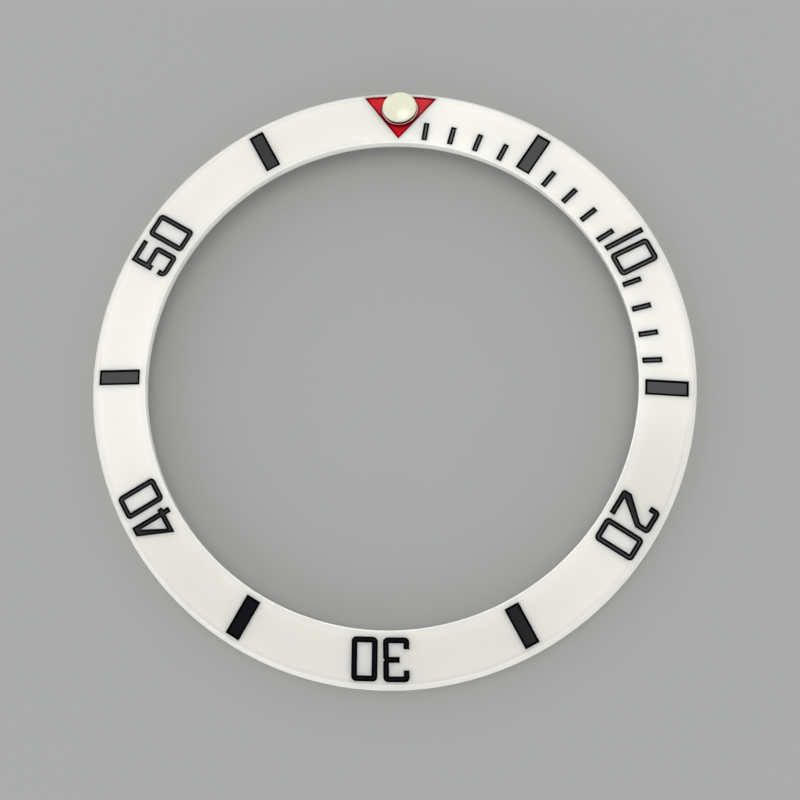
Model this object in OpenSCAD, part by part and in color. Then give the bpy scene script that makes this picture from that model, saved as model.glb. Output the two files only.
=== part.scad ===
// Watch bezel insert: a sloped ceramic ring with an engraved sixty minute scale.
// The frame has the flat seat of the underside in z = 0, +Z along the ring's axis
// and +Y towards the red triangle at the zero mark. All sizes are in millimetres.
// Every mark is a pocket sunk into the sloped face and an inlay of its own that fills it.

/* [Ring] */
// Outside diameter of the ring
outer_d = 38.0; // [32:0.5:46]
// Width of the ring from its inside to its outside
ring_w = 3.6; // [3.2:0.05:4.2]
// Slope of the face, which falls from the inner edge to the outer one, in degrees
face_angle = 12.5; // [9:0.5:16]
// Thickness of the ceramic, square to the face
face_thick = 0.95; // [0.8:0.05:1.3]
// Width of the flat seat under the outer edge
seat_w = 0.42; // [0.3:0.02:0.8]
// Height of the upright outer wall
wall_h = 0.43; // [0.3:0.01:0.55]
// Width of the chamfer between the face and the outer wall
chamfer_w = 0.28; // [0.16:0.02:0.4]
// Radius that breaks every edge of the ring
edge_r = 0.04; // [0.02:0.01:0.06]

/* [Marks] */
// Depth of the pockets below the face
pocket_depth = 0.18; // [0.1:0.02:0.3]
// How far the inlays stay below the face
inlay_drop = 0.03; // [0.01:0.01:0.06]
// White left between the ring's inside and the bars and numerals
mark_gap_in = 0.38; // [0.3:0.02:0.6]
// White left between the chamfer and the bars and numerals
mark_gap_out = 0.24; // [0.1:0.02:0.5]
// Width of the bars at the odd fives
bar_w = 0.97; // [0.6:0.05:1.3]
// Width of the single minute ticks
tick_w = 0.35; // [0.25:0.05:0.5]
// Length of the single minute ticks
tick_len = 1.23; // [0.8:0.05:1.6]
// White left between the ring's inside and the ticks and the triangle's tip
tick_gap_in = 0.27; // [0.2:0.01:0.4]

/* [Numerals] */
// Width of a digit
digit_w = 1.61; // [1.4:0.05:1.7]
// Width of the stroke that draws a digit
stroke = 0.36; // [0.28:0.02:0.42]
// Gap between the two digits of a numeral
digit_gap = 0.34; // [0.26:0.02:0.42]
// Radius of a digit's round corners
corner_r = 0.30; // [0.1:0.02:0.34]
// Length of the free ends that hook round on the digits 2, 3 and 5
hook_len = 0.72; // [0.5:0.02:0.8]

/* [Triangle and pearl] */
// White left between the chamfer and the triangle's curved side
triangle_gap_out = 0.03; // [0.02:0.01:0.3]
// Narrowest red between the pearl's rim and the triangle's straight sides
red_margin = 0.15; // [0.05:0.01:0.2]
// Diameter of the rim of the pearl's capsule
rim_d = 2.28; // [2.2:0.02:2.6]
// Gap between the ring's outside and the pearl's rim
rim_gap_out = 0.13; // [0.05:0.01:0.3]
// Thickness of the capsule's rim, which lies on the face
rim_thick = 0.10; // [0.06:0.02:0.2]
// How far the rim reaches out past the capsule's body, which sits in the ring's drilled hole
rim_overhang = 0.20; // [0.1:0.02:0.4]
// Thickness of the capsule's wall and floor
capsule_wall = 0.10; // [0.06:0.02:0.2]
// Clearance all round between the capsule's body and the hole
capsule_clear = 0.01; // [0.01:0.01:0.04]
// Width of the bright rim that shows round the lens
rim_show = 0.04; // [0.03:0.01:0.2]
// Thickness of the clear lens over the luminous pad
lens_wall = 0.05; // [0.05:0.01:0.12]
// Height of the lens's upright side
lens_side_h = 0.17; // [0.1:0.01:0.3]
// Height of the lens's crown above its side
crown_h = 0.19; // [0.18:0.01:0.3]
// Radius that rounds the lens from its side into its crown
lens_edge_r = 0.12; // [0.08:0.01:0.14]

/* [Hidden] */
$fn = 96;
PARTS_OF_TURN = 60;
BARS = [5, 15, 25, 35, 45, 55];
TICKS = [for (m = [1 : 14]) if (m % 5 != 0) m];
NUMERALS = [10, 20, 30, 40, 50];
// How far the tens digit of each numeral leans towards its own radius, in degrees
TENS_LEAN = [2.0, 0, 1.5, 0, 0.5];

outer_r = outer_d / 2;
inner_r = outer_r - ring_w;
face_r = outer_r - chamfer_w;
rise = tan(face_angle);
upright_thick = face_thick / cos(face_angle);
mark_in_r = inner_r + mark_gap_in;
mark_h = face_r - mark_gap_out - mark_in_r;
tick_in_r = inner_r + tick_gap_in;
rim_r = rim_d / 2;
capsule_r = rim_r - rim_overhang;
pearl_y = outer_r - rim_gap_out - rim_r;
half_tip_angle = asin((rim_r + red_margin) / (pearl_y - tick_in_r));
triangle_out_r = face_r - triangle_gap_out;
lens_r = rim_r - rim_show;
pad_r = lens_r - lens_wall;
// Length of the crossbar's end behind the stem of the digit 4
four_stub = stroke / 2;
// Length by which a cutting form reaches past what it cuts
over = 1;
// Overlap that joins two flat forms drawn side by side
slip = 0.01;
// Segments in the small round of an edge
ROUND_STEPS = 4;

function two_digits(m) = m < 10 ? str("0", m) : str(m);
function bar_name(m) = str("bar_", two_digits(m));
function tick_name(m) = str("tick_", two_digits(m));
function tens_name(m) = str("numeral_", m, "_tens");
function units_name(m) = str("numeral_", m, "_zero");

// Height of the sloped face and of the sloped underside at a radius
function face_z(r) = upright_thick + (outer_r - seat_w - r) * rise;
function back_z(r) = (outer_r - seat_w - r) * rise;

// A profile's corner p, between the corners a and b, rounded to the radius p[2]:
// the points of the arc that touches both sides
function unit(v) = v / norm(v);
function flat(p) = [p[0], p[1]];
function rounded_corner(a, p, b) =
    let (
        to_a = unit(flat(a) - flat(p)),
        to_b = unit(flat(b) - flat(p)),
        half_corner = acos(to_a * to_b) / 2,
        middle = flat(p) + unit(to_a + to_b) * p[2] / sin(half_corner),
        start = flat(p) + to_a * p[2] / tan(half_corner) - middle,
        end = flat(p) + to_b * p[2] / tan(half_corner) - middle,
        sweep = 180 - 2 * half_corner
    )
    [for (i = [0 : ROUND_STEPS])
        middle + (start * sin(sweep * (1 - i / ROUND_STEPS)) + end * sin(sweep * i / ROUND_STEPS))
            / sin(sweep)];
function rounded(profile) =
    let (n = len(profile))
    [for (i = [0 : n - 1]) each
        profile[i][2] > 0
            ? rounded_corner(profile[(i + n - 1) % n], profile[i], profile[(i + 1) % n])
            : [flat(profile[i])]];

// The part of the sloped layer between two depths below the face
module face_layer(top_depth, bottom_depth) {
    rotate_extrude($fn = 180)
        polygon([
            [inner_r - over, face_z(inner_r - over) - bottom_depth],
            [outer_r + over, face_z(outer_r + over) - bottom_depth],
            [outer_r + over, face_z(outer_r + over) - top_depth],
            [inner_r - over, face_z(inner_r - over) - top_depth]
        ]);
}

// A flat mark raised into a solid that follows the slope of the face
module sunk(top_depth, bottom_depth) {
    intersection() {
        linear_extrude(face_z(inner_r - over) + over)
            children();
        face_layer(top_depth, bottom_depth);
    }
}

module inlay() {
    sunk(inlay_drop, pocket_depth)
        children();
}

// Turns a mark drawn at the zero mark to its minute, clockwise from above
module at_minute(m) {
    rotate(-360 / PARTS_OF_TURN * m)
        children();
}

// Flat outlines, seen from above with +Y outwards. A digit stands on y = 0 and starts at x = 0
module bar_outline() {
    translate([-bar_w / 2, mark_in_r])
        square([bar_w, mark_h]);
}

module tick_outline() {
    translate([-tick_w / 2, tick_in_r])
        square([tick_w, tick_len]);
}

module triangle_outline() {
    reach = outer_r - tick_in_r;
    intersection() {
        circle(triangle_out_r, $fn = 180);
        translate([0, tick_in_r])
            polygon([
                [0, 0],
                [reach * tan(half_tip_angle), reach],
                [-reach * tan(half_tip_angle), reach]
            ]);
    }
}

module rounded_box(w, h) {
    translate([corner_r, 0])
        square([w - 2 * corner_r, h]);
    translate([0, corner_r])
        square([w, h - 2 * corner_r]);
    for (x = [corner_r, w - corner_r], y = [corner_r, h - corner_r])
        translate([x, y])
            circle(corner_r, $fn = 48);
}

// A closed loop of stroke with round outer corners and square inner ones
module loop_outline(h) {
    difference() {
        rounded_box(digit_w, h);
        translate([stroke, stroke])
            square([digit_w - 2 * stroke, h - 2 * stroke]);
    }
}

module digit_0() {
    loop_outline(mark_h);
}

module digit_1() {
    square([stroke, mark_h]);
}

// The loop's top stays as a hook, and a diagonal runs from its right side to a straight foot
module digit_2() {
    turn_y = mark_h * 0.66;
    foot_y = mark_h * 0.22;
    foot_w = digit_w + stroke / 6;
    foot_x = stroke * 1.3;
    heel = stroke / 3;
    difference() {
        loop_outline(mark_h);
        translate([-over, -over])
            square([digit_w + 2 * over, turn_y + over]);
        translate([-over, 0])
            square([stroke + over + slip, mark_h - hook_len]);
    }
    polygon([
        [digit_w, turn_y + slip],
        [digit_w - stroke, turn_y + stroke / 2],
        [0, foot_y],
        [0, heel],
        [heel, 0],
        [foot_w, 0],
        [foot_w, stroke],
        [foot_x, stroke]
    ]);
}

// The loop opened on its left, with a short middle arm and a notch behind it
module digit_3() {
    arm_x = digit_w * 0.37;
    notch_in = stroke / 4;
    notch_half_h = stroke * 0.65;
    difference() {
        union() {
            difference() {
                loop_outline(mark_h);
                translate([-over, hook_len])
                    square([stroke + over + slip, mark_h - 2 * hook_len]);
            }
            translate([arm_x, (mark_h - stroke) / 2])
                square([digit_w - arm_x - stroke / 2, stroke]);
        }
        translate([digit_w, mark_h / 2])
            polygon([[-notch_in, 0], [notch_in, -notch_half_h], [notch_in, notch_half_h]]);
    }
}

// A stem, a crossbar that passes it, and a slanted side that runs up to a flat top
module digit_4() {
    bar_y = mark_h * 0.14;
    stem_x = four_w() - four_stub - stroke;
    top_x = stem_x - stroke * 0.7;
    hole_x = stroke * 1.2;
    hole_top = mark_h - stroke * 1.3;
    translate([stem_x, 0])
        square([stroke, mark_h]);
    translate([stem_x, bar_y])
        square([stroke + four_stub, stroke]);
    difference() {
        polygon([
            [0, bar_y],
            [stem_x + slip, bar_y],
            [stem_x + slip, mark_h],
            [top_x, mark_h],
            [0, bar_y + stroke / 8]
        ]);
        polygon([
            [hole_x, bar_y + stroke],
            [stem_x + over, bar_y + stroke],
            [stem_x + over, hole_top],
            [stem_x, hole_top]
        ]);
    }
}

// A square top, a stem with a short foot, and a round bowl with a hooked end
module digit_5() {
    bowl_h = mark_h * 0.63;
    stem_y = bowl_h - stroke * 1.6;
    hook_y = hook_len - stroke / 6;
    bowl_corner_r = corner_r * 1.4;
    difference() {
        loop_outline(bowl_h);
        translate([-over, hook_y])
            square([stroke + over, bowl_h]);
        difference() {
            square(bowl_corner_r);
            translate([bowl_corner_r, bowl_corner_r])
                circle(bowl_corner_r, $fn = 48);
        }
    }
    translate([0, stem_y])
        square([stroke, mark_h - stem_y]);
    translate([0, bowl_h - stroke])
        square([digit_w / 2, stroke]);
    translate([0, mark_h - stroke])
        square([digit_w - stroke / 6, stroke]);
}

function four_w() = digit_w + 0.8 * four_stub;
function tens_w(m) = m == 10 ? stroke : m == 40 ? four_w() : digit_w;
function left_x(m) = -(tens_w(m) + digit_gap + digit_w) / 2;

module tens_digit(m) {
    if (m == 10) digit_1();
    if (m == 20) digit_2();
    if (m == 30) digit_3();
    if (m == 40) digit_4();
    if (m == 50) digit_5();
}

module tens_outline(m) {
    translate([left_x(m) + tens_w(m) / 2, mark_in_r + mark_h / 2])
        rotate(TENS_LEAN[m / 10 - 1])
            translate([-tens_w(m) / 2, -mark_h / 2])
                tens_digit(m);
}

module units_outline(m) {
    translate([left_x(m) + tens_w(m) + digit_gap, mark_in_r])
        digit_0();
}

module all_outlines() {
    triangle_outline();
    for (m = BARS) at_minute(m) bar_outline();
    for (m = TICKS) at_minute(m) tick_outline();
    for (m = NUMERALS) at_minute(m) {
        tens_outline(m);
        units_outline(m);
    }
}

// The pearl stands square to the sloped face: its own z = 0 is the face's plane
module on_face_at_pearl() {
    translate([0, pearl_y, face_z(pearl_y)])
        rotate([-face_angle, 0, 0])
            children();
}

module ring_blank() {
    rotate_extrude($fn = 180)
        polygon(rounded([
            [outer_r, 0, edge_r],
            [outer_r, wall_h, edge_r],
            [face_r, face_z(face_r), edge_r],
            [inner_r, face_z(inner_r), edge_r],
            [inner_r, back_z(inner_r), edge_r],
            [outer_r - seat_w, 0, 0]
        ]));
}

module insert_ring() {
    color("ghostwhite")
        difference() {
            ring_blank();
            sunk(-over, pocket_depth)
                all_outlines();
            on_face_at_pearl()
                translate([0, 0, -face_thick - over])
                    cylinder(r = capsule_r + capsule_clear, h = face_thick + 2 * over);
        }
}

// The enamel leaves room for the pearl and ends on both sides of the thin place beyond it, under the rim
module triangle_inlay() {
    color("crimson")
        difference() {
            inlay()
                triangle_outline();
            on_face_at_pearl() {
                translate([0, 0, -over])
                    cylinder(r = capsule_r + capsule_clear, h = 2 * over);
                translate([-capsule_r / 2, 0, -over])
                    cube([capsule_r, outer_r, 2 * over]);
            }
        }
}

// A steel cup with a thin rim, open at the top
module pearl_capsule() {
    depth = face_thick - capsule_wall / 2;
    color("silver")
        on_face_at_pearl()
            rotate_extrude()
                polygon([
                    [0, -depth],
                    [capsule_r, -depth],
                    [capsule_r, 0],
                    [rim_r, 0],
                    [rim_r, rim_thick],
                    [capsule_r - capsule_wall, rim_thick],
                    [capsule_r - capsule_wall, -depth + capsule_wall],
                    [0, -depth + capsule_wall]
                ]);
}

// A low dome on z = 0: an upright side, a round edge, and a crown whose arc runs smoothly into it
module dome(r, side_h, crown, edge) {
    reach = r - edge;
    crown_r = (reach * reach + crown * crown - edge * edge) / (2 * (crown - edge));
    touch_x = crown_r * reach / (crown_r - edge);
    rotate_extrude() {
        square([r, side_h]);
        translate([reach, side_h])
            intersection() {
                circle(edge, $fn = 48);
                square(edge);
            }
        intersection() {
            translate([0, side_h + crown - crown_r])
                circle(crown_r, $fn = 720);
            square([touch_x, side_h + crown]);
        }
    }
}

module pearl_lume() {
    depth = face_thick - capsule_wall / 2;
    color("beige")
        on_face_at_pearl() {
            translate([0, 0, capsule_wall - depth])
                cylinder(r = capsule_r - capsule_wall, h = depth - capsule_wall + rim_thick);
            translate([0, 0, rim_thick])
                lume_pad();
        }
}

// The raised part of the luminous filling, which the lens covers
module lume_pad() {
    dome(pad_r, lens_side_h, crown_h - lens_wall, lens_edge_r - lens_wall / 2);
}

module pearl_lens() {
    color("honeydew")
        on_face_at_pearl()
            translate([0, 0, rim_thick])
                difference() {
                    dome(lens_r, lens_side_h, crown_h, lens_edge_r);
                    lume_pad();
                }
}

module bar(m) {
    color("black") at_minute(m) inlay() bar_outline();
}

module tick(m) {
    color("black") at_minute(m) inlay() tick_outline();
}

module numeral_tens(m) {
    color("black") at_minute(m) inlay() tens_outline(m);
}

module numeral_units(m) {
    color("black") at_minute(m) inlay() units_outline(m);
}

insert_ring();
triangle_inlay();
pearl_capsule();
pearl_lume();
pearl_lens();
for (m = BARS) bar(m);
for (m = TICKS) tick(m);
for (m = NUMERALS) numeral_tens(m);
for (m = NUMERALS) numeral_units(m);
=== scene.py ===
"""Looks of a watch bezel insert: glossy white ceramic, sunken enamel marks and a luminous pearl.

Everything is in metres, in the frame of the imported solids: z = 0 is the flat seat under the ring, +Z is the
ring's axis and +Y points at the red triangle of the zero mark.
"""
import math

import bpy
import numpy as np
from bpy.props import FloatProperty, FloatVectorProperty, PointerProperty
from mathutils import Euler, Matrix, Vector
from mathutils.geometry import delaunay_2d_cdt


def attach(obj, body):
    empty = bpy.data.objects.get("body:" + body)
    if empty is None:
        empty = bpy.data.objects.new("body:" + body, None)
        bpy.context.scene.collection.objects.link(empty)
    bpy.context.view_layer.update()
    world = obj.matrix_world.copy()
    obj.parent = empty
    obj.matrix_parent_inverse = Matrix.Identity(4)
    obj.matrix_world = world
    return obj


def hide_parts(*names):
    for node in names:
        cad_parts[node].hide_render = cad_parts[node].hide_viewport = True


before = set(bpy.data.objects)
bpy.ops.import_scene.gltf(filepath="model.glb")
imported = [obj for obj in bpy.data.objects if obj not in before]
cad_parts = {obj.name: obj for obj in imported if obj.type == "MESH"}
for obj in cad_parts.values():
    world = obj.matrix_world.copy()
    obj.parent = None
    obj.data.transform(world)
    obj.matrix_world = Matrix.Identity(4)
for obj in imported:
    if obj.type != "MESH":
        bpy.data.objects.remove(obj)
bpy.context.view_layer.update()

bl_info = {
    "name": "Watch bezel insert",
    "version": (1, 0, 0),
    "blender": (4, 5, 0),
    "location": "View3D > Sidebar > Bezel insert",
    "description": "Dresses the solids of a ceramic watch bezel insert",
    "category": "Add Mesh",
}

MM = 0.001
PARTS_OF_TURN = 60
BARS = (5, 15, 25, 35, 45, 55)
TICKS = tuple(m for m in range(1, 15) if m % 5)
NUMERALS = (10, 20, 30, 40, 50)
# How far the tens digit of each numeral leans towards its own radius, in degrees
TENS_LEAN = {10: 2.0, 20: 0.0, 30: 1.5, 40: 0.0, 50: 0.5}
# Radius of the corners that look sharp, and segments in the round of a corner
SHARP = 0.02 * MM
CORNER_STEPS = 5
# Gap that keeps a filling clear of its pocket's wall, and twice the area of the smallest triangle kept
SEAM = 0.003 * MM
SLIVER = (SEAM / 10) ** 2
# Distance between the points inside a filling's floor and inside its hidden base, and the share of it that
# they keep from the outline
FLOOR_PITCH = 0.22 * MM
BASE_PITCH = 4 * FLOOR_PITCH
KEEP_OFF = 0.45
# Steps down a filling's sloping edge, and the share of the way down from which it looks level
SLOPE_STEPS = 6
LEVEL_FROM = 0.92
# Segments round a turned form, and steps over a dome's round edge and over its crown
ROUND_PARTS = 160
EDGE_STEPS = 9
CROWN_STEPS = 23
# Share of an arc's own radius that rounds the corners which stand for the arc
ARC_ROUND = 0.94
# Two faces that meet at more than this angle look sharp
SHARP_ANGLE = math.radians(50)


# Settings

def length(name, description, millimetres):
    """A length that the sidebar shows in the scene's own unit."""
    return FloatProperty(name=name, description=description, default=millimetres * MM, precision=5,
                         unit="LENGTH", subtype="DISTANCE")


def angle(name, description, degrees):
    """An angle, which the sidebar shows in degrees."""
    return FloatProperty(name=name, description=description, default=math.radians(degrees),
                         unit="ROTATION", subtype="ANGLE")


def amount(name, description, value, unit="NONE"):
    """A number from zero up."""
    return FloatProperty(name=name, description=description, default=value, min=0.0, unit=unit)


def share(name, description, value):
    """A share between zero and one."""
    return FloatProperty(name=name, description=description, default=value, min=0.0, max=1.0,
                         subtype="FACTOR")


def colour(name, description, rgb):
    """A colour in linear light."""
    return FloatVectorProperty(name=name, description=description, default=rgb, size=3, min=0.0, max=1.0,
                               subtype="COLOR")


class RingSettings(bpy.types.PropertyGroup):
    """Sizes and finish of the ceramic ring"""
    outer_radius: length("Outside radius", "From the axis to the outer wall", 19.0)
    width: length("Width", "From the inner wall to the outer wall", 3.6)
    slope: angle("Slope", "Fall of the face from its inner edge to its outer edge", 12.5)
    thickness: length("Thickness", "Thickness of the ceramic, square to the face", 0.95)
    seat_width: length("Seat width", "Width of the flat seat under the outer edge", 0.42)
    chamfer_width: length("Chamfer width", "Width of the chamfer round the outside", 0.28)
    white: colour("White", "Main colour of the ceramic", (0.925, 0.90, 0.832))
    cloud: colour("Cloud", "Faint second white that drifts through the ceramic", (0.895, 0.88, 0.822))
    # Painted shade along the face's edges: its grey, where its line lies, and how strong the inner one is
    edge_shade_grey: colour("Edge grey", "Greyer white of the line along the face's edges", (0.79, 0.77, 0.72))
    line_in: length("Line distance", "From an edge of the face to the middle of its line", 0.11)
    line_reach: length("Line reach", "From an edge of the face to where its line has faded out", 0.38)
    inner_line: share("Inner line", "Strength of the inner edge's line as a share of the outer one's", 0.5)
    edge_softness: length("Edge softness", "Radius that softens the ring's edges in the light", 0.06)
    glow: length("Glow", "How far light spreads inside the ceramic", 0.7)


class MarkSettings(bpy.types.PropertyGroup):
    """Sizes and finish of the sunken black marks"""
    pocket_depth: length("Pocket depth", "Depth of the pockets below the face", 0.18)
    lip_drop: length("Lip drop", "How far the filling stays below the face at its edge", 0.015)
    floor_drop: length("Floor drop", "Depth of the filling's level floor below the face", 0.07)
    band_width: length("Band width", "Width of the filling's sloping edge in bars", 0.145)
    tick_band_width: length("Tick band width", "Width of the filling's sloping edge in ticks", 0.12)
    gap_in: length("Inner gap", "White between the ring's inside and the bars", 0.38)
    gap_out: length("Outer gap", "White between the chamfer and the bars", 0.24)
    bar_width: length("Bar width", "Width of the bars at the odd fives", 0.97)
    tick_width: length("Tick width", "Width of the minute ticks", 0.35)
    tick_length: length("Tick length", "Length of the minute ticks", 1.23)
    tick_gap_in: length("Tick gap", "White between the ring's inside and the ticks", 0.27)
    # Painted shade: the black is a little darker on the filling's sloping edge
    edge_shade_black: colour("Edge black", "Colour of the filling's sloping edge", (0.001, 0.001, 0.001))
    floor_black: colour("Floor black", "Colour of the filling's level floor", (0.006, 0.006, 0.009))


class NumeralSettings(bpy.types.PropertyGroup):
    """Sizes of the digits"""
    digit_width: length("Digit width", "Width of a digit", 1.61)
    stroke: length("Stroke", "Width of the stroke that draws a digit", 0.36)
    gap: length("Gap", "Gap between the two digits of a numeral", 0.34)
    corner_radius: length("Corner radius", "Radius of a digit's round corners", 0.30)
    hook: length("Hook", "Length of the free ends that hook round", 0.72)
    band_width: length("Band width", "Width of the filling's sloping edge in digits", 0.125)


class TriangleSettings(bpy.types.PropertyGroup):
    """Sizes and finish of the red triangle"""
    gap_out: length("Outer gap", "White between the chamfer and the triangle's curved side", 0.03)
    margin: length("Margin", "Narrowest red between the pearl's rim and the straight sides", 0.15)
    hole_gap: length("Hole gap", "Gap between the enamel and the pearl's body", 0.03)
    band_width: length("Band width", "Width of the enamel's sloping edge", 0.14)
    # Painted shadow of the pearl's rim on the red: how far it reaches, and its colour below
    shadow_reach: length("Shadow reach", "How far the dark line round the pearl fades out", 0.17)
    red: colour("Red", "Colour of the enamel", (0.63, 0.005, 0.014))
    # Painted shade: the red is deeper along the filling's sloping edge
    edge_shade_red: colour("Edge red", "Deeper colour along the triangle's edge", (0.29, 0.002, 0.007))
    shadow: colour("Shadow", "Colour of the dark line round the pearl", (0.08, 0.001, 0.003))
    tip_gloss: share("Tip gloss", "Share of the gloss that is left at the triangle's tip", 0.15)


class PearlSettings(bpy.types.PropertyGroup):
    """Sizes and finish of the pearl: a steel capsule, a luminous pad and a clear lens"""
    rim_radius: length("Rim radius", "Radius of the capsule's rim", 1.14)
    rim_gap_out: length("Rim gap", "Gap between the ring's outside and the pearl's rim", 0.13)
    rim_thickness: length("Rim thickness", "Thickness of the rim, which lies on the face", 0.10)
    rim_overhang: length("Rim overhang", "How far the rim reaches out past the capsule's body", 0.20)
    rim_show: length("Rim show", "Width of the rim that shows round the lens", 0.04)
    wall: length("Wall", "Thickness of the capsule's wall and floor", 0.10)
    lens_wall: length("Lens wall", "Thickness of the clear lens over the pad", 0.05)
    lens_side: length("Lens side", "Height of the lens's upright side", 0.17)
    crown: length("Crown", "Height of the lens's crown above its side", 0.19)
    lens_edge: length("Lens edge", "Radius from the lens's side into its crown", 0.12)
    foot_round: length("Foot round", "Radius round the capsule's foot", 0.05)
    rim_round: length("Rim round", "Radius round the top of the capsule's rim", 0.03)
    # Painted reflection: the steel is tinted pink by the red enamel round it
    steel: colour("Steel", "Colour of the capsule", (0.85, 0.54, 0.52))
    lume: colour("Lume", "Colour of the luminous pad", (0.985, 0.965, 0.80))
    # Painted light: the pad glows faintly, as lume does, to keep it bright under its lens
    light: amount("Light", "Strength of the pad's own faint light", 0.148)
    lens: colour("Lens", "Colour of the clear lens", (0.99, 1.0, 0.98))
    # Painted shade and a painted reflection of the red: the dark colour of the lens's upright side
    lens_side_shade: colour("Gasket", "Dark colour of the lens's upright side", (0.02, 0.001, 0.001))
    # Painted shade and a painted reflection of the red on the pad's upright side
    pad_side_shade: colour("Pad side", "Colour of the pad's upright side", (0.10, 0.004, 0.008))


class StageSettings(bpy.types.PropertyGroup):
    """The floor, the light and the camera"""
    floor: colour("Floor", "Colour of the pale floor", (0.405, 0.415, 0.407))
    sky: amount("Sky", "Strength of the even light from all round", 1.02)
    shade: amount("Shade", "Strength of the light in the shaded patch overhead", 0.03)
    horizon: amount("Horizon", "Strength that the band of light low round the sky adds", 1.38)
    dim_side: amount("Dim side", "Strength that the dim side of the room on the right takes away", 0.50)
    window: amount("Window", "Strength that the soft window on the right adds", 0.50)
    post: amount("Post", "Strength that the dim post beside that window takes away", 0.65)
    corner: amount("Corner", "Strength that the dim corner on the upper left takes away", 0.42)
    lamp: amount("Lamp", "Strength that the small soft lamp behind the ring adds", 4.2)
    focal_length: amount("Focal length", "Focal length of the camera", 90.0, "CAMERA")


# Shapes

def unit(vectors):
    """Each row divided by its length."""
    return vectors / np.linalg.norm(vectors, axis=-1, keepdims=True)


def left_of(vectors):
    """Each row (x, y) turned a quarter turn anticlockwise: (-y, x)."""
    return np.stack([-vectors[:, 1], vectors[:, 0]], axis=1)


def corner_arcs(corners):
    """The closed outline of corners (x, y, radius), each replaced by the arc that touches its two sides.

    With unit vectors a and b from a corner to its neighbours and h half the angle between them, the arc's
    middle lies radius / sin h along a + b, and its ends lie radius / tan h along a and b. The points between
    the ends are (start * sin(sweep * (1 - t)) + end * sin(sweep * t)) / sin(sweep), where sweep = 180 - 2 h.
    """
    place, radius = corners[:, :2], corners[:, 2:]
    to_last = unit(np.roll(place, 1, axis=0) - place)
    to_next = unit(np.roll(place, -1, axis=0) - place)
    half = np.arccos(np.clip((to_last * to_next).sum(1, keepdims=True), -1, 1)) / 2
    middle = place + unit(to_last + to_next) * radius / np.sin(half)
    start = place + to_last * radius / np.tan(half) - middle
    end = place + to_next * radius / np.tan(half) - middle
    sweep = (np.pi - 2 * half)[:, None]
    t = np.linspace(0, 1, CORNER_STEPS + 1)[None, :, None]
    arcs = start[:, None] * np.sin(sweep * (1 - t)) + end[:, None] * np.sin(sweep * t)
    return (middle[:, None] + arcs / np.sin(sweep)).reshape(-1, 2)


def inset(corners, distance):
    """The corners moved so that every side steps left by distance, which is into the filling.

    A corner moves by distance * (n + m) / (1 + n . m), where n and m are the left normals of its two sides.
    A corner that points outwards loses distance from its radius, and one that points inwards gains it.
    """
    place = corners[:, :2]
    before = unit(place - np.roll(place, 1, axis=0))
    after = unit(np.roll(place, -1, axis=0) - place)
    normal, next_normal = left_of(before), left_of(after)
    shared = 1 + (normal * next_normal).sum(1, keepdims=True)
    moved = place + distance * (normal + next_normal) / shared
    outward = before[:, 0] * after[:, 1] - before[:, 1] * after[:, 0] > 0
    radius = np.where(outward, np.maximum(corners[:, 2] - distance, SHARP), corners[:, 2] + distance)
    return np.column_stack([moved, radius])


def within(points, outline, next_of):
    """Which points lie inside the outlines, by the number of sides that cross the ray to their right."""
    ax, ay = outline[:, 0], outline[:, 1]
    bx, by = outline[next_of, 0], outline[next_of, 1]
    x, y = points[:, :1], points[:, 1:]
    spans = (ay > y) != (by > y)
    rise = np.where(by == ay, 1, by - ay)
    return (spans & (x < ax + (bx - ax) * (y - ay) / rise)).sum(1) % 2 == 1


def far_from(points, outline, next_of, distance):
    """Which points are further than distance from every side of the outlines."""
    a, b = outline, outline[next_of]
    along = b - a
    t = ((points[:, None] - a) * along).sum(2) / (along * along).sum(1)
    nearest = a + np.clip(t, 0, 1)[..., None] * along
    return np.linalg.norm(points[:, None] - nearest, axis=2).min(1) > distance


def filled(outline, next_of, pitch):
    """Points and triangles that fill the outlines, with a square grid of points inside them.

    The triangulation is made in millimetres. Each triangle's corners run anticlockwise seen from above.
    """
    low, high = outline.min(0), outline.max(0)
    steps = np.ceil((high - low) / pitch).astype(int) + 1
    across, up = np.meshgrid(np.linspace(low[0], high[0], steps[0]), np.linspace(low[1], high[1], steps[1]))
    grid = np.column_stack([across.ravel(), up.ravel()])
    grid = grid[within(grid, outline, next_of)]
    grid = grid[far_from(grid, outline, next_of, pitch * KEEP_OFF)]
    points = np.concatenate([outline, grid])
    sides = np.column_stack([np.arange(len(outline)), next_of])
    found = delaunay_2d_cdt([Vector(p) for p in points / MM], sides.tolist(), [], 0, 1e-7)
    triangles = np.array([f for f in found[2] if len(f) == 3])
    source = np.array([ids[0] for ids in found[3]])
    triangles = source[triangles]
    corners = points[triangles]
    triangles = triangles[within(corners.mean(1), outline, next_of)]
    a, b, c = (points[triangles[:, k]] for k in range(3))
    area = (b[:, 0] - a[:, 0]) * (c[:, 1] - a[:, 1]) - (b[:, 1] - a[:, 1]) * (c[:, 0] - a[:, 0])
    triangles[area < 0] = triangles[area < 0][:, ::-1]
    return points, triangles[np.abs(area) > SLIVER]


def face_height(ring, radius):
    """Height of the sloped face at a distance from the axis: it falls evenly from the inside outwards."""
    upright = ring.thickness / math.cos(ring.slope)
    return upright + (ring.outer_radius - ring.seat_width - radius) * math.tan(ring.slope)


def carried(loops, insets):
    """The loops' outlines at each inset, one row of points each, and the number of each point's next one."""
    outlines = [[corner_arcs(inset(loop, d)) for loop in loops] for d in insets]
    sizes = [len(o) for o in outlines[0]]
    starts = np.cumsum([0] + sizes[:-1])
    next_of = np.concatenate([np.roll(np.arange(n), -1) + s for n, s in zip(sizes, starts)])
    return np.array([np.concatenate(o) for o in outlines]), next_of


def quads(rows, next_of):
    """Faces that join each row of points to the one after it, with two corners in either row."""
    count = len(next_of)
    first = np.arange(rows - 1)[:, None] * count
    here, ahead = first + np.arange(count), first + next_of
    return np.stack([here, ahead, ahead + count, here + count], axis=2).reshape(-1, 4).tolist()


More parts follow.
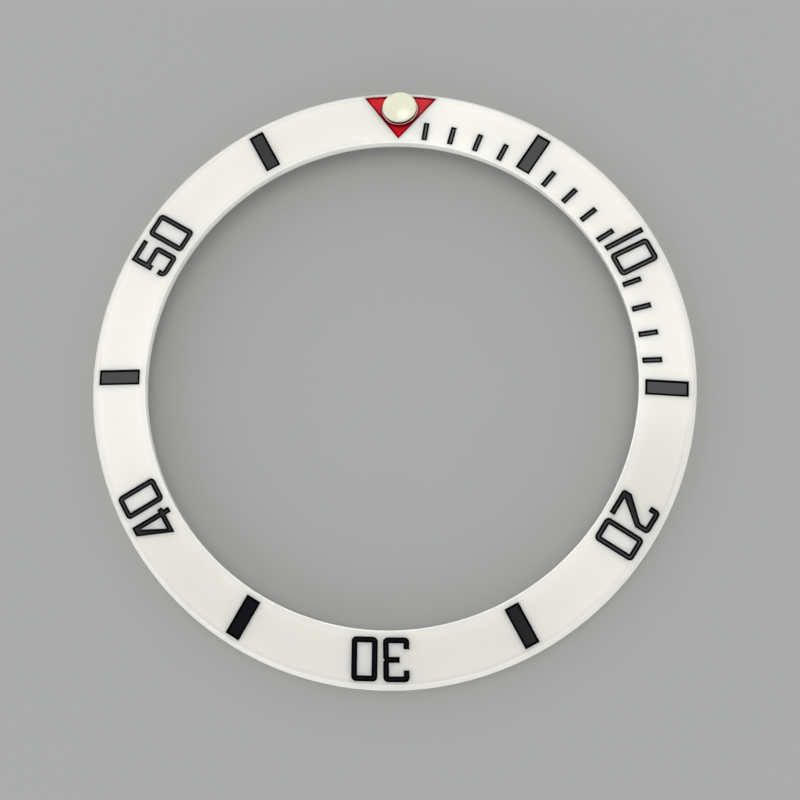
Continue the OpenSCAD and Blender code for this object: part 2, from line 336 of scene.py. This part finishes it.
def filling(ring, marks, loops, width):
    """A mark's filling: a profile of (inset, depth) carried round its outlines, with a level floor inside.

    The profile goes up the pocket's wall to the lip and down a smooth slope to the floor. Its depth at the
    share t of the slope is lip + (floor - lip) * t * t * (3 - 2 t). A point's height is the face's height at
    its distance from the axis, less its depth.
    """
    t = np.linspace(0, 1, SLOPE_STEPS + 1)
    slope = marks.lip_drop + (marks.floor_drop - marks.lip_drop) * t * t * (3 - 2 * t)
    insets = np.concatenate([[SEAM], SEAM + width * t, [SEAM * 2 + width]])
    depths = np.concatenate([[marks.pocket_depth - SEAM], slope, [marks.floor_drop]])
    down = np.concatenate([[0], t, [1]])
    rows, next_of = carried(loops, insets)
    count = len(next_of)
    top, top_faces = filled(rows[-1], next_of, FLOOR_PITCH)
    base, base_faces = filled(rows[0], next_of, BASE_PITCH)
    # The points inside the floor and inside the base follow the points of the rows
    top_more, base_more = len(top) - count, len(base) - count
    flat = np.concatenate([rows.reshape(-1, 2), top[count:], base[count:]])
    depth = np.concatenate([np.repeat(depths, count), np.full(top_more, depths[-1]),
                            np.full(base_more, depths[0])])
    band = np.concatenate([np.repeat(down, count), np.ones(top_more), np.zeros(base_more)])
    height = face_height(ring, np.hypot(flat[:, 0], flat[:, 1])) - depth
    row, row_points = np.arange(count), len(rows) * count
    top_ids = np.concatenate([row_points - count + row, row_points + np.arange(top_more)])
    base_ids = np.concatenate([row, row_points + top_more + np.arange(base_more)])
    faces = quads(len(rows), next_of) + top_ids[top_faces].tolist() + base_ids[base_faces][:, ::-1].tolist()
    return np.column_stack([flat, height]), faces, band


def at_minute(points, minute):
    """The points turned clockwise, as seen from above, from the zero mark to their minute."""
    turn = -2 * math.pi * minute / PARTS_OF_TURN
    cos, sin = math.cos(turn), math.sin(turn)
    x, y = points[:, 0].copy(), points[:, 1].copy()
    return np.column_stack([x * cos - y * sin, x * sin + y * cos, points[:, 2]])


def revolved(profile, parts=ROUND_PARTS):
    """A closed form turned about the z axis: profile rows (radius, height) run from axis to axis.

    The point at angle a is (radius * cos a, radius * sin a, height). The two rows on the axis become single
    points that close the form.
    """
    turn = np.linspace(0, 2 * np.pi, parts, endpoint=False)
    rows = profile[1:-1]
    grid = np.stack([rows[:, :1] * np.cos(turn), rows[:, :1] * np.sin(turn),
                     np.repeat(rows[:, 1:], parts, axis=1)], axis=2).reshape(-1, 3)
    here = np.arange(parts)
    ahead = np.roll(here, -1)
    first, last = len(grid), len(grid) + 1
    end = (len(rows) - 1) * parts
    start_fan = np.column_stack([np.full(parts, first), ahead, here])
    end_fan = np.column_stack([np.full(parts, last), end + here, end + ahead])
    points = np.concatenate([grid, [[0, 0, profile[0, 1]], [0, 0, profile[-1, 1]]]])
    return points, quads(len(rows), ahead) + start_fan.tolist() + end_fan.tolist()


def softened(rows):
    """A profile whose corners (radius, height, round) become arcs, all but its first and its last."""
    rows = np.asarray(rows, float)
    arcs = corner_arcs(rows).reshape(len(rows), CORNER_STEPS + 1, 2)
    return np.concatenate([rows[:1, :2], *arcs[1:-1], rows[-1:, :2]])


# Making pieces

def settings():
    """The settings of every group, by a short name."""
    scene = bpy.context.scene
    return {name: getattr(scene, "insert_" + name) for name in GROUPS}


def add_piece(name, points, faces, material, replaced, band=None):
    """Puts a surface into the scene as a piece that stands for its CAD node."""
    mesh = bpy.data.meshes.new(name)
    mesh.from_pydata(points.tolist(), [], faces)
    mesh.update()
    mesh.shade_smooth()
    mesh.set_sharp_from_angle(angle=SHARP_ANGLE)
    if band is not None:
        mesh.attributes.new("band", "FLOAT", "POINT").data.foreach_set("value", band.astype(np.float32))
    mesh.materials.append(material)
    piece = bpy.data.objects.new(name, mesh)
    bpy.context.scene.collection.objects.link(piece)
    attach(piece, "root")
    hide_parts(replaced)
    return piece


def add_black(marks, node, shape, minute):
    """Turns a black filling from the zero mark to its minute and puts it into the scene."""
    points, faces, band = shape
    placed = at_minute(points, minute)
    add_piece(node + "_enamel", placed, faces, black_enamel(marks), node, band)


# Materials

class Shading:
    """A new material with one Principled shader, and short ways to add nodes to it."""

    def __init__(self, name):
        self.material = bpy.data.materials.new(name)
        self.material.use_nodes = True
        self.tree = self.material.node_tree
        self.tree.nodes.clear()
        self.shader = self.node("ShaderNodeBsdfPrincipled")
        output = self.node("ShaderNodeOutputMaterial")
        self.tree.links.new(self.shader.outputs[0], output.inputs["Surface"])

    def node(self, kind, inputs=None, **options):
        """Adds a node, sets its options, and sets or links its inputs."""
        made = self.tree.nodes.new(kind)
        for key, value in options.items():
            setattr(made, key, value)
        for key, value in (inputs or {}).items():
            self.put(made, key, value)
        return made

    def put(self, node, key, value):
        """Links a socket to an input, or sets the input to a value."""
        if isinstance(value, bpy.types.NodeSocket):
            self.tree.links.new(value, node.inputs[key])
        elif isinstance(value, tuple) and node.inputs[key].type == "RGBA":
            node.inputs[key].default_value = (*value, 1.0)
        else:
            node.inputs[key].default_value = value

    def set(self, **values):
        """Sets or links the Principled shader's inputs, whose spaces are written as underscores."""
        for key, value in values.items():
            self.put(self.shader, key.replace("_", " "), value)

    def place(self):
        """The piece's own coordinates."""
        return self.node("ShaderNodeTexCoord").outputs["Object"]

    def radius(self):
        """The distance from the ring's axis."""
        level = self.node("ShaderNodeVectorMath", {0: self.place(), 1: (1.0, 1.0, 0.0)}, operation="MULTIPLY")
        return self.node("ShaderNodeVectorMath", {0: level.outputs[0]}, operation="LENGTH").outputs["Value"]

    def noise(self, size, detail=2.0, roughness=0.5):
        """Noise whose patches are about size metres across."""
        return self.node("ShaderNodeTexNoise", {"Vector": self.place(), "Scale": 1 / size,
                                                "Detail": detail, "Roughness": roughness}).outputs[0]

    def spread(self, value, low, high, start=0.3, end=0.7):
        """A value from start to end turned into one from low to high."""
        return self.node("ShaderNodeMapRange", {"Value": value, "From Min": start, "From Max": end,
                                                "To Min": low, "To Max": high}).outputs[0]

    def combine(self, operation, first, second):
        """Two numbers made one, such as their difference, their product, or the greater of them."""
        return self.node("ShaderNodeMath", {0: first, 1: second}, operation=operation).outputs[0]

    def blend(self, share, first, second):
        """A mix of two colours."""
        return self.node("ShaderNodeMix", {0: share, 6: first, 7: second}, data_type="RGBA").outputs[2]

    def bump(self, height, distance, normal=None):
        """The surface's normal after a bump, which stands distance metres high."""
        inputs = {"Height": height, "Distance": distance, "Strength": 1.0}
        if normal is not None:
            inputs["Normal"] = normal
        return self.node("ShaderNodeBump", inputs).outputs[0]

    def attribute(self, name):
        """A number stored on the piece's points."""
        return self.node("ShaderNodeAttribute", attribute_name=name).outputs["Fac"]


def edge_shade_line(s, ring, away, strength):
    """Strength of the line of painted shade along an edge of the face, by the distance away from the edge.

    It grows from nothing at the edge to all of it at line_in, and fades to nothing again at line_reach.
    """
    grow = s.spread(away, 0, strength, 0, ring.line_in)
    fade = s.spread(away, strength, 0, ring.line_in, ring.line_reach)
    return s.combine("MINIMUM", grow, fade)


def ceramic(ring):
    """Polished white ceramic: two close whites in slow clouds, and a line of painted shade along the face's
    edges.

    The polish is almost a mirror, and the light sees each edge as a round of radius edge_softness.
    """
    s = Shading("white ceramic")
    clouds = s.noise(5.0 * MM, detail=3.0, roughness=0.55)
    grain = s.noise(0.16 * MM)
    radius = s.radius()
    # The outer line of painted shade starts a little way down the chamfer
    outer = s.combine("SUBTRACT", ring.outer_radius - ring.chamfer_width + ring.edge_softness, radius)
    inner = s.combine("SUBTRACT", radius, ring.outer_radius - ring.width)
    line = s.combine("MAXIMUM", edge_shade_line(s, ring, outer, 1.0), edge_shade_line(s, ring, inner, ring.inner_line))
    white = s.blend(s.spread(clouds, 0, 1), tuple(ring.white), tuple(ring.cloud))
    soft = s.node("ShaderNodeBevel", {"Radius": ring.edge_softness}, samples=4).outputs[0]
    s.set(
        # Painted shade: the white greys along the face's edges
        Base_Color=s.blend(line, white, tuple(ring.edge_shade_grey)),
        Roughness=s.spread(grain, 0.09, 0.14),
        Normal=s.bump(s.noise(0.5 * MM), 0.0005 * MM, normal=soft),
        IOR=2.15,
        Subsurface_Weight=1.0,
        Subsurface_Radius=(1.0, 1.0, 1.0),
        Subsurface_Scale=ring.glow,
    )
    return s.material


def level_share(s):
    """0 on a filling's sloping edge and 1 on its level floor."""
    return s.spread(s.attribute("band"), 0, 1, LEVEL_FROM, 1.0)


def enamel(s, tone, gloss, gloss_ior):
    """Filling with a faintly cloudy colour, a soft sheen, and a hard clear gloss where gloss is 1."""
    cloud = s.spread(s.noise(0.7 * MM), 0.85, 1.15)
    ripple = s.bump(s.noise(0.22 * MM, detail=3.0), 0.006 * MM)
    s.set(
        Base_Color=s.node("ShaderNodeVectorMath", {0: tone, "Scale": cloud}, operation="SCALE").outputs[0],
        Roughness=s.spread(s.noise(0.12 * MM), 0.34, 0.46),
        IOR=1.05,
        Coat_Weight=gloss,
        Coat_Roughness=0.12,
        Coat_IOR=gloss_ior,
        Normal=ripple,
        Coat_Normal=ripple,
    )
    return s.material


def black_enamel(marks):
    """The black filling, dull and a little darker at its edge as painted shade, and glossy on its floor. The
    first piece to ask for it makes it.
    """
    name = "black enamel"
    made = bpy.data.materials.get(name)
    if made:
        return made
    s = Shading(name)
    level = level_share(s)
    # Painted shade: darker black on the sloping edge
    return enamel(s, s.blend(level, tuple(marks.edge_shade_black), tuple(marks.floor_black)), level, 1.7)


def red_enamel(own):
    """The red filling: painted shade along its edge, a painted shadow of the pearl close to the pearl, and
    less glossy towards its tip.
    """
    triangle, rim = own["triangle"], own["pearl"].rim_radius
    middle = pearl_place(own)
    s = Shading("red enamel")
    level = level_share(s)
    # Painted shade: deeper red on the sloping edge
    red = s.blend(level, tuple(triangle.edge_shade_red), tuple(triangle.red))
    # Painted shadow: the red darkens towards the pearl's rim
    away = s.node("ShaderNodeVectorMath", {0: s.place(), 1: middle}, operation="DISTANCE").outputs["Value"]
    tone = s.blend(s.spread(away, 0, 1, rim, rim + triangle.shadow_reach), tuple(triangle.shadow), red)
    height = s.node("ShaderNodeSeparateXYZ", {0: s.place()}).outputs["Y"]
    fade = s.spread(height, triangle.tip_gloss, 1, middle[1] - rim, middle[1])
    gloss = s.combine("MULTIPLY", level, fade)
    return enamel(s, tone, gloss, 1.4)


def steel(pearl):
    """Polished steel with fine turned lines, tinted pink as a painted reflection of the red enamel round it.
    """
    s = Shading("pearl steel")
    grain = s.noise(0.05 * MM, detail=3.0)
    s.set(
        # The pink of the steel is a painted reflection of the red enamel
        Base_Color=s.blend(s.spread(grain, 0, 1), tuple(pearl.steel), tuple(0.9 * c for c in pearl.steel)),
        Metallic=1.0,
        Roughness=s.spread(grain, 0.14, 0.24),
        Normal=s.bump(s.noise(0.08 * MM), 0.0006 * MM),
    )
    return s.material


def luminous(pearl):
    """Pale luminous paste: fine grains in a slightly uneven cream, an upright side darkened with painted
    shade and a painted reflection of the red, and a faint glow of painted light.
    """
    s = Shading("lume")
    grains = s.noise(0.045 * MM, detail=3.0, roughness=0.6)
    drift = s.noise(0.6 * MM)
    fine = s.blend(s.spread(grains, 0, 1), tuple(pearl.lume), tuple(0.94 * c for c in pearl.lume))
    paste = s.blend(s.spread(drift, 0, 0.5), fine, tuple(min(1, 1.08 * c) for c in pearl.lume))
    # The upright side is darkened with painted shade and a painted reflection of the red
    above_side = s.spread(s.attribute("band"), 0, 1, 0.1, 0.4)
    s.set(
        Base_Color=s.blend(above_side, tuple(pearl.pad_side_shade), paste),
        Roughness=0.6,
        Normal=s.bump(grains, 0.002 * MM),
        # Painted light: a faint glow that keeps the pad bright under its lens
        Emission_Color=tuple(pearl.lume),
        Emission_Strength=pearl.light,
    )
    return s.material


def clear_lens(pearl):
    """Clear polished lens with the faintest unevenness, and an upright side darkened with painted shade and a
    painted reflection of the red enamel.
    """
    s = Shading("clear lens")
    # The upright side is darkened with painted shade and a painted reflection of the red
    above_side = s.spread(s.attribute("band"), 0, 1, 0, 0.1)
    s.set(
        Base_Color=s.blend(above_side, tuple(pearl.lens_side_shade), tuple(pearl.lens)),
        Roughness=0.03,
        IOR=1.5,
        Transmission_Weight=1.0,
        Normal=s.bump(s.noise(0.5 * MM), 0.0004 * MM),
    )
    return s.material


def plain_floor(stage):
    """Matt pale floor."""
    s = Shading("floor")
    s.set(Base_Color=tuple(stage.floor), Roughness=0.8)
    return s.material


# Outlines, drawn at the zero mark with +Y outwards and with the filling on the left of each side

def at(rows, shift_x=0.0, shift_y=0.0, lean=0.0, middle=(0.0, 0.0)):
    """Corners turned by lean degrees about middle, then shifted."""
    corners = np.array([(*row, SHARP)[:3] for row in rows])
    turn = math.radians(lean)
    x, y = corners[:, 0] - middle[0], corners[:, 1] - middle[1]
    corners[:, 0] = x * math.cos(turn) - y * math.sin(turn) + middle[0] + shift_x
    corners[:, 1] = x * math.sin(turn) + y * math.cos(turn) + middle[1] + shift_y
    return corners


def arc_corners(radius, first, last, parts):
    """Corners (x, y, radius) round an arc about (0, 0), from one clockwise angle off +Y to another.

    They are the corners of the straight sides that touch the arc in the middle of its equal parts, so they
    lie at radius / cos(half a part). Each is rounded with almost the arc's own radius.
    """
    turn = np.linspace(first, last, parts + 1)
    reach = radius / math.cos((last - first) / parts / 2)
    corner = np.full(parts + 1, radius * ARC_ROUND)
    return np.column_stack([reach * np.sin(turn), reach * np.cos(turn), corner])


def rectangle(width, height):
    """A rectangle from (0, 0), anticlockwise."""
    return [(0, 0), (width, 0), (width, height), (0, height)]


# Every digit is called with its width, height, stroke, corner radius and hook length, used or not

def digit_0(w, h, s, r, hook):
    """A loop with round outer corners and square inner ones."""
    return [
        [(0, 0, r), (w, 0, r), (w, h, r), (0, h, r)],
        [(s, s), (s, h - s), (w - s, h - s), (w - s, s)],
    ]


def digit_1(w, h, s, r, hook):
    """A plain upright."""
    return [rectangle(s, h)]


def digit_2(w, h, s, r, hook):
    """A hooked top, a diagonal from its right side, and a straight foot."""
    turn = h * 0.66
    foot = h * 0.22
    foot_w = w + s / 6
    heel = s / 3
    return [[
        (heel, 0), (foot_w, 0), (foot_w, s), (s * 1.3, s), (w, turn), (w, h, r), (0, h, r),
        (0, h - hook), (s, h - hook), (s, h - s), (w - s, h - s), (w - s, turn + s / 2), (0, foot),
        (0, heel),
    ]]


def digit_3(w, h, s, r, hook):
    """A loop opened on its left, with a short middle arm and a notch behind it."""
    arm = w * 0.37
    notch_in = s / 4
    notch = s * 0.325
    return [[
        (0, 0, r), (w, 0, r), (w, h / 2 - notch), (w - notch_in, h / 2), (w, h / 2 + notch), (w, h, r),
        (0, h, r), (0, h - hook), (s, h - hook), (s, h - s), (w - s, h - s), (w - s, (h + s) / 2),
        (arm, (h + s) / 2), (arm, (h - s) / 2), (w - s, (h - s) / 2), (w - s, s), (s, s), (s, hook),
        (0, hook),
    ]]


def digit_4(w, h, s, r, hook):
    """A stem, a crossbar that passes it, and a slanted side up to a flat top."""
    stub = s / 2
    bar = h * 0.14
    stem = four_width(w, s) - stub - s
    return [
        [
            (-s / 18, bar), (stem, bar), (stem, 0), (stem + s, 0), (stem + s, bar), (stem + s + stub, bar),
            (stem + s + stub, bar + s), (stem + s, bar + s), (stem + s, h), (stem - s * 0.7, h),
        ],
        [(s * 1.2, bar + s), (stem, h - s * 1.3), (stem, bar + s)],
    ]


def digit_5(w, h, s, r, hook):
    """A square top, a stem with a short foot, and a round bowl with a hooked end."""
    bowl = h * 0.63
    stem = bowl - s * 1.6
    end = hook - s / 6
    return [[
        (0, 0, r * 1.4), (w, 0, r), (w, bowl, r), (s, bowl), (s, h - s), (w - s / 6, h - s), (w - s / 6, h),
        (0, h), (0, stem), (s, stem), (s, bowl - s), (w - s, bowl - s), (w - s, s), (s, s), (s, end),
        (0, end),
    ]]


def four_width(w, s):
    """The digit 4 is wider than the others by most of the crossbar's end."""
    return w + 0.4 * s


TENS = {10: digit_1, 20: digit_2, 30: digit_3, 40: digit_4, 50: digit_5}


# Operators

class RingOperator(bpy.types.Operator):
    """Give the ceramic ring its finish"""
    bl_idname = "insert.ring"
    bl_label = "Ceramic ring"

    def execute(self, context):
        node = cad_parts["insert_ring"]
        node.data.materials.clear()
        node.data.materials.append(ceramic(settings()["ring"]))
        return {"FINISHED"}


class BarsOperator(bpy.types.Operator):
    """Make the fillings of the bars and the minute ticks"""
    bl_idname = "insert.bars"
    bl_label = "Bars and ticks"

    def execute(self, context):
        own = settings()
        ring, marks = own["ring"], own["marks"]
        inner = ring.outer_radius - ring.width
        height = ring.width - ring.chamfer_width - marks.gap_in - marks.gap_out
        bar = at(rectangle(marks.bar_width, height), -marks.bar_width / 2, inner + marks.gap_in)
        tick = at(rectangle(marks.tick_width, marks.tick_length), -marks.tick_width / 2,
                  inner + marks.tick_gap_in)
        for word, minutes, outline, width in (("bar", BARS, bar, marks.band_width),
                                              ("tick", TICKS, tick, marks.tick_band_width)):
            shape = filling(ring, marks, [outline], width)
            for minute in minutes:
                add_black(marks, f"{word}_{minute:02d}", shape, minute)
        return {"FINISHED"}


class NumeralsOperator(bpy.types.Operator):
    """Make the fillings of the digits"""
    bl_idname = "insert.numerals"
    bl_label = "Numerals"

    def execute(self, context):
        own = settings()
        ring, marks, numerals = own["ring"], own["marks"], own["numerals"]
        base = ring.outer_radius - ring.width + marks.gap_in
        height = ring.width - ring.chamfer_width - marks.gap_in - marks.gap_out
        w, s = numerals.digit_width, numerals.stroke
        sizes = (w, height, s, numerals.corner_radius, numerals.hook)
        for minute in NUMERALS:
            tens_w = {10: s, 40: four_width(w, s)}.get(minute, w)
            left = -(tens_w + numerals.gap + w) / 2
            middle = (tens_w / 2, height / 2)
            tens = [at(loop, left, base, TENS_LEAN[minute], middle) for loop in TENS[minute](*sizes)]
            zero = [at(loop, left + tens_w + numerals.gap, base) for loop in digit_0(*sizes)]
            for word, loops in (("tens", tens), ("zero", zero)):
                shape = filling(ring, marks, loops, numerals.band_width)
                add_black(marks, f"numeral_{minute}_{word}", shape, minute)
        return {"FINISHED"}


class TriangleOperator(bpy.types.Operator):
    """Make the red filling of the zero triangle"""
    bl_idname = "insert.triangle"
    bl_label = "Red triangle"

    def execute(self, context):
        own = settings()
        ring, marks, triangle, pearl = own["ring"], own["marks"], own["triangle"], own["pearl"]
        tip = ring.outer_radius - ring.width + marks.tick_gap_in
        middle = pearl_place(own)[1]
        half_tip = math.asin((pearl.rim_radius + triangle.margin) / (middle - tip))
        arc_radius = ring.outer_radius - ring.chamfer_width - triangle.gap_out
        # Seen from the ring's axis, the straight sides meet the arc at this angle
        reach = half_tip - math.asin(tip * math.sin(half_tip) / arc_radius)
        # The pearl's body leaves a notch that follows it round its inner side and then runs straight out
        notch_parts = 8
        notch_start = math.radians(70)
        notch = arc_corners(pearl.rim_radius - pearl.rim_overhang + triangle.hole_gap, notch_start,
                            2 * math.pi - notch_start, notch_parts)
        notch[:, 1] = notch[:, 1] * math.cos(ring.slope) + middle
        run_out = notch_start - (math.pi - notch_start) / notch_parts
        mouth = (notch[0, 0] - (arc_radius - notch[0, 1]) / math.tan(run_out)) / arc_radius
        right = arc_corners(arc_radius, reach, mouth, 2)
        right[[0, -1], 2] = SHARP
        left = right[::-1] * (-1, 1, 1)
        outline = np.concatenate([[[0, tip, SHARP]], right, notch, left])
        points, faces, band = filling(ring, marks, [outline], triangle.band_width)
        add_piece("triangle_enamel", points, faces, red_enamel(own), "triangle_inlay", band)
        return {"FINISHED"}


def pearl_place(own):
    """The point of the face where the pearl's axis meets it."""
    y = own["ring"].outer_radius - own["pearl"].rim_gap_out - own["pearl"].rim_radius
    return np.array([0, y, face_height(own["ring"], y)])


def on_face(own, points):
    """Points about the pearl's own axis, tipped square to the face and moved to the pearl's place."""
    cos, sin = math.cos(own["ring"].slope), math.sin(own["ring"].slope)
    x, y, z = points.T
    return np.column_stack([x, y * cos + z * sin, z * cos - y * sin]) + pearl_place(own)


def dome_rows(radius, foot, side, crown, edge):
    """Profile rows of a dome from the foot of its upright side over its round edge to its top on the axis.

    The crown is an arc of radius (reach^2 + crown^2 - edge^2) / (2 (crown - edge)) about the axis, with
    reach = radius - edge, which runs smoothly into the round edge.
    """
    reach = radius - edge
    crown_radius = (reach * reach + crown * crown - edge * edge) / (2 * (crown - edge))
    centre = foot + side + crown - crown_radius
    touch = math.atan2(reach, foot + side - centre)
    round_edge = np.linspace(np.pi / 2, touch, EDGE_STEPS + 1)
    over = np.linspace(touch, 0, CROWN_STEPS + 1)[1:]
    return np.concatenate([
        [[radius, foot]],
        np.column_stack([reach + edge * np.sin(round_edge), foot + side + edge * np.cos(round_edge)]),
        np.column_stack([crown_radius * np.sin(over), centre + crown_radius * np.cos(over)]),
    ])


class PearlOperator(bpy.types.Operator):
    """Make the pearl: steel capsule, luminous pad and clear lens"""
    bl_idname = "insert.pearl"
    bl_label = "Pearl"

    def execute(self, context):
        own = settings()
        ring, pearl = own["ring"], own["pearl"]
        depth = ring.thickness - pearl.wall / 2
        floor = pearl.wall - depth
        top = pearl.rim_thickness
        body = pearl.rim_radius - pearl.rim_overhang
        bore = body - pearl.wall
        lens_radius = pearl.rim_radius - pearl.rim_show
        pad_radius = lens_radius - pearl.lens_wall
        pad_crown = pearl.crown - pearl.lens_wall
        pad_edge = pearl.lens_edge - pearl.lens_wall / 2
        cup = softened([
            (0, -depth, 0), (body, -depth, pearl.foot_round), (body, 0, SHARP), (pearl.rim_radius, 0, SHARP),
            (pearl.rim_radius, top, pearl.rim_round), (bore, top, SHARP), (bore, floor, SHARP), (0, floor, 0),
        ])
        stem = softened([
            (0, floor + SEAM, 0), (bore - SEAM, floor + SEAM, SHARP), (bore - SEAM, top + SEAM, 0),
        ])
        pad_dome = dome_rows(pad_radius + SEAM, top + SEAM, pearl.lens_side, pad_crown, pad_edge)
        pad = np.concatenate([stem, pad_dome])
        hollow = dome_rows(pad_radius, top + SEAM, pearl.lens_side - SEAM, pad_crown, pad_edge)
        outside = dome_rows(lens_radius, top + SEAM, pearl.lens_side - SEAM, pearl.crown, pearl.lens_edge)
        lens = np.concatenate([hollow[::-1], outside])
        jobs = (
            ("pearl_cup", cup, steel(pearl), "pearl_steel", "pearl_capsule"),
            ("pearl_pad", pad, luminous(pearl), "lume", "pearl_lume"),
            ("pearl_dome", lens, clear_lens(pearl), "clear_lens", "pearl_lens"),
        )
        for name, profile, material, slot, node in jobs:
            points, faces = revolved(profile)
            crown_share = np.clip((points[:, 2] - top - pearl.lens_side) / pad_edge, 0, 1)
            add_piece(name, on_face(own, points), faces, material, node, crown_share)
        return {"FINISHED"}


class StageOperator(bpy.types.Operator):
    """Set up the floor, the light and the camera"""
    bl_idname = "insert.stage"
    bl_label = "Stage"

    def execute(self, context):
        stage = settings()["stage"]
        scene = context.scene
        scene.view_settings.view_transform = "Standard"
        # The floor reaches this many metres from the middle each way
        reach = 2.0
        corners = [(-reach, -reach, 0), (reach, -reach, 0), (reach, reach, 0), (-reach, reach, 0)]
        mesh = bpy.data.meshes.new("floor")
        mesh.from_pydata(corners, [], [(0, 1, 2, 3)])
        mesh.materials.append(plain_floor(stage))
        floor = bpy.data.objects.new("floor", mesh)
        scene.collection.objects.link(floor)
        self.sky(scene, stage)
        self.camera(scene, stage)
        return {"FINISHED"}

    def sky(self, scene, stage):
        """Even light that is brighter low round the sky, with soft windows and dim patches in it.

        Each patch has a middle, an inner and an outer angle in degrees, and the strength it adds: all of it
        within the inner angle from the middle, and smoothly less out to the outer angle.
        """
        world = bpy.data.worlds.new("soft light")
        world.use_nodes = True
        tree = world.node_tree
        background = tree.nodes["Background"]
        background.inputs["Color"].default_value = (1.0, 1.0, 1.0, 1.0)
        where = tree.nodes.new("ShaderNodeTexCoord").outputs["Generated"]
        patches = (
            ((-0.20, -0.28, 0.93), 14, 34, stage.shade - stage.sky),
            ((0.0, 0.0, -1.0), 92, 135, stage.horizon),
            ((0.88, -0.20, 0.42), 20, 60, -stage.dim_side),
            ((0.46, 0.20, 0.87), 3, 12, stage.window),
            ((0.45, 0.02, 0.90), 2, 9, -stage.post),
            ((-0.36, 0.60, 0.72), 6, 24, -stage.corner),
            ((-0.01, 0.55, 0.83), 3, 8, stage.lamp),
        )
        total = None
        for middle, inner, outer, strength in patches:
            closeness = tree.nodes.new("ShaderNodeVectorMath")
            closeness.operation = "DOT_PRODUCT"
            closeness.inputs[1].default_value = Vector(middle).normalized()
            tree.links.new(where, closeness.inputs[0])
            fade = tree.nodes.new("ShaderNodeMapRange")
            fade.interpolation_type = "SMOOTHSTEP"
            fade.inputs["From Min"].default_value = math.cos(math.radians(outer))
            fade.inputs["From Max"].default_value = math.cos(math.radians(inner))
            fade.inputs["To Min"].default_value = 0.0 if total else stage.sky
            fade.inputs["To Max"].default_value = strength if total else stage.sky + strength
            tree.links.new(closeness.outputs["Value"], fade.inputs["Value"])
            if total:
                both = tree.nodes.new("ShaderNodeMath")
                tree.links.new(total, both.inputs[0])
                tree.links.new(fade.outputs[0], both.inputs[1])
                total = both.outputs[0]
            else:
                total = fade.outputs[0]
        tree.links.new(total, background.inputs["Strength"])
        scene.world = world

    def camera(self, scene, stage):
        """The photograph's viewing angle: nearly overhead, from a little below and right of the middle."""
        data = bpy.data.cameras.new("camera")
        data.lens = stage.focal_length
        data.sensor_width = 36.0
        data.clip_start = 0.001
        turns = (9.6839, 4.6279, 1.9516)
        camera = bpy.data.objects.new("camera", data)
        camera.location = Vector((11.258, -21.667, 123.531)) * MM
        camera.rotation_euler = Euler([math.radians(turn) for turn in turns])
        scene.collection.objects.link(camera)
        scene.camera = camera


class InsertPanel(bpy.types.Panel):
    """Lists the pieces of the bezel insert and their settings"""
    bl_idname = "VIEW3D_PT_bezel_insert"
    bl_label = "Bezel insert"
    bl_space_type = "VIEW_3D"
    bl_region_type = "UI"
    bl_category = "Bezel insert"

    def draw(self, context):
        for operator in OPERATORS:
            self.layout.operator(operator.bl_idname)
        for name, group in GROUPS.items():
            box = self.layout.box()
            box.label(text=name.capitalize())
            for key in group.__annotations__:
                box.prop(getattr(context.scene, "insert_" + name), key)


GROUPS = {
    "ring": RingSettings,
    "marks": MarkSettings,
    "numerals": NumeralSettings,
    "triangle": TriangleSettings,
    "pearl": PearlSettings,
    "stage": StageSettings,
}
OPERATORS = (RingOperator, BarsOperator, NumeralsOperator, TriangleOperator, PearlOperator, StageOperator)
CLASSES = (*GROUPS.values(), *OPERATORS, InsertPanel)


def register():
    """Adds the classes, and the settings to the scene."""
    for item in CLASSES:
        bpy.utils.register_class(item)
    for name, group in GROUPS.items():
        setattr(bpy.types.Scene, "insert_" + name, PointerProperty(type=group))


def unregister():
    """Takes away what register added."""
    for name in GROUPS:
        delattr(bpy.types.Scene, "insert_" + name)
    for item in reversed(CLASSES):
        bpy.utils.unregister_class(item)


def main():
    """Registers the add-on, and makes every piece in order."""
    register()
    for operator in OPERATORS:
        group, name = operator.bl_idname.split(".")
        getattr(getattr(bpy.ops, group), name)()


if __name__ == "__main__":
    main()
